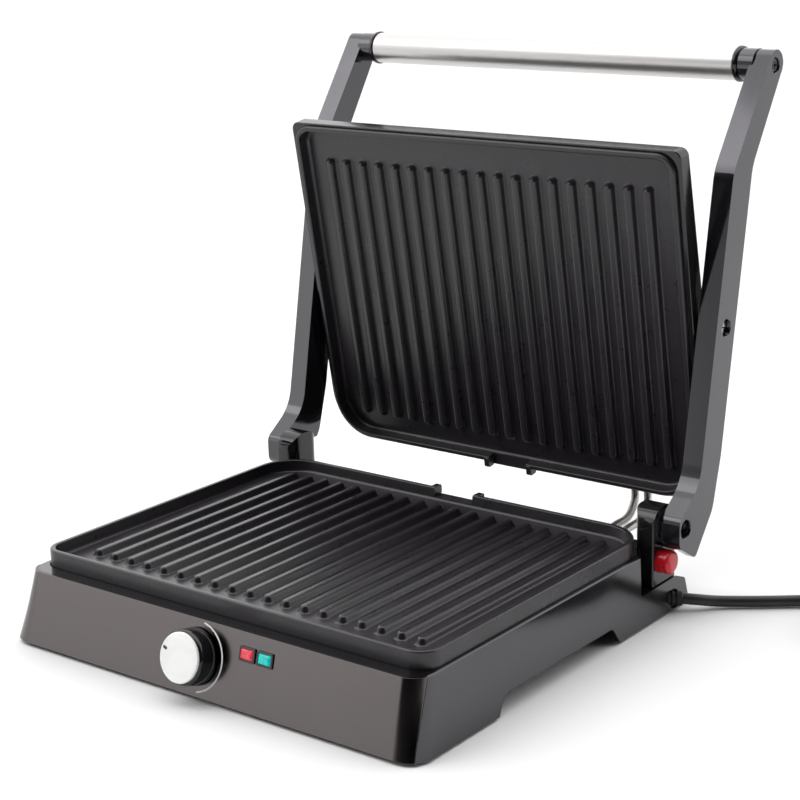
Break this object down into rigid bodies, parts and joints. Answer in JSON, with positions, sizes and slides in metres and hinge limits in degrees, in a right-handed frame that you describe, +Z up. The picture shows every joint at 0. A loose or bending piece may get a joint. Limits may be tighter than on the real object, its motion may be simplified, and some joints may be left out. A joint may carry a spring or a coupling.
{
  "type": "panini press",
  "caption": "Hinged contact grill with ribbed plates, a pivoting lid on side arms, a bar handle, a front dial with lamps and a release button for laying it flat.",
  "frame": {"origin": "on the table under the middle of the whole grill, its cord left out", "axes": "+X to the user's right, +Y to the back (hinge side), +Z up"},
  "size_m": [0.4956, 0.3816, 0.3346],
  "materials": {
    "gloss_black": "high gloss moulded plastic",
    "housing_black": "glossy lacquered housing",
    "nonstick": "die-cast aluminium with satin black non-stick coating",
    "titanium": "gunmetal metallic, semi-gloss",
    "stainless": "brushed stainless steel",
    "zinc": "zinc plated",
    "aluminium": "bright sheet",
    "chrome": "nickel plated",
    "element": "heat-tinted sheath",
    "red_button": "glossy red",
    "white_cap": "satin white",
    "lamp_red": "clear red lens",
    "lamp_green": "clear green-blue lens",
    "dark_plastic": "fine texture",
    "phenolic": "moulded phenolic",
    "rubber": "matt",
    "cord": "soft PVC"
  },
  "bodies": {
    "base": {"base_shell": "gloss_black", "front_fascia": "titanium", "bottom_cover": "dark_plastic", "lower_grill_plate": "nonstick", "lower_heating_element": "element", "lower_reflector": "aluminium", "hinge_post_left": "gloss_black", "hinge_post_right": "gloss_black", "hinge_pin_left": "zinc", "hinge_pin_right": "zinc", "foot_front_left": "rubber", "foot_front_right": "rubber", "foot_rear_left": "rubber", "foot_rear_right": "rubber", "foot_screw_front_left": "zinc", "foot_screw_front_right": "zinc", "foot_screw_rear_left": "zinc", "foot_screw_rear_right": "zinc", "thermostat_body": "phenolic", "lamp_frame_red": "gloss_black", "lamp_frame_green": "gloss_black", "lamp_lens_red": "lamp_red", "lamp_lens_green": "lamp_green", "terminal_block": "phenolic", "strain_relief": "rubber", "power_cord": "cord", "cord_coil": "cord", "mains_plug": "cord", "button_spring": "stainless", "conduit_inner": "stainless", "conduit_outer": "stainless"},
    "knob": {"control_knob": "gloss_black", "knob_cap": "white_cap", "thermostat_spindle": "zinc"},
    "button": {"release_button": "red_button"},
    "hinge_discs": {"hinge_disc_left": "dark_plastic", "hinge_disc_right": "dark_plastic"},
    "arms": {"arm_left": "gloss_black", "arm_right": "gloss_black", "handle_tube": "stainless", "handle_collar_left": "gloss_black", "handle_collar_right": "gloss_black", "handle_screw_left": "zinc", "handle_screw_right": "zinc"},
    "pivot_pins": {"pivot_pin_left": "chrome", "pivot_pin_right": "chrome", "pivot_washer_left": "dark_plastic", "pivot_washer_right": "dark_plastic"},
    "lid": {"lid_housing": "housing_black", "upper_grill_plate": "nonstick", "upper_heating_element": "element"}
  },
  "joints": [
    {"name": "lay_flat", "type": "hinge", "parent": "base", "child": "hinge_discs", "pos_m": [0, 0.07819, 0.0567], "axis": [-1, 0, 0], "range_deg": [0, 77], "deforming": ["conduit_inner", "conduit_outer"]},
    {"name": "lid_close", "type": "hinge", "parent": "hinge_discs", "child": "arms", "pos_m": [0, 0.07819, 0.0567], "axis": [1, 0, 0], "range_deg": [0, 104.7]},
    {"name": "lid_level_closing", "type": "hinge", "parent": "arms", "child": "pivot_pins", "pos_m": [0, 0.12399, 0.1718], "axis": [1, 0, 0], "range_deg": [-24.5, 0]},
    {"name": "lid_level_flat", "type": "hinge", "parent": "pivot_pins", "child": "lid", "pos_m": [0, 0.12399, 0.1718], "axis": [-1, 0, 0], "range_deg": [0, 22.8]},
    {"name": "dial_turn", "type": "hinge", "parent": "base", "child": "knob", "pos_m": [-0.0046, -0.17359, 0.02338], "axis": [0, 0.9622, -0.2724], "range_deg": [0, 220]},
    {"name": "release_press", "type": "slide", "parent": "base", "child": "button", "axis": [-1, 0, 0], "range_m": [0, 0.0035], "stiffness_N_per_m": 400, "springref_m": -0.002, "deforming": ["button_spring"]}
  ],
  "couplings": [
    {"joint": "lid_level_closing", "follows": "lid_close", "ratio": -0.234},
    {"joint": "lid_level_flat", "follows": "lay_flat", "ratio": 0.2961}
  ]
}
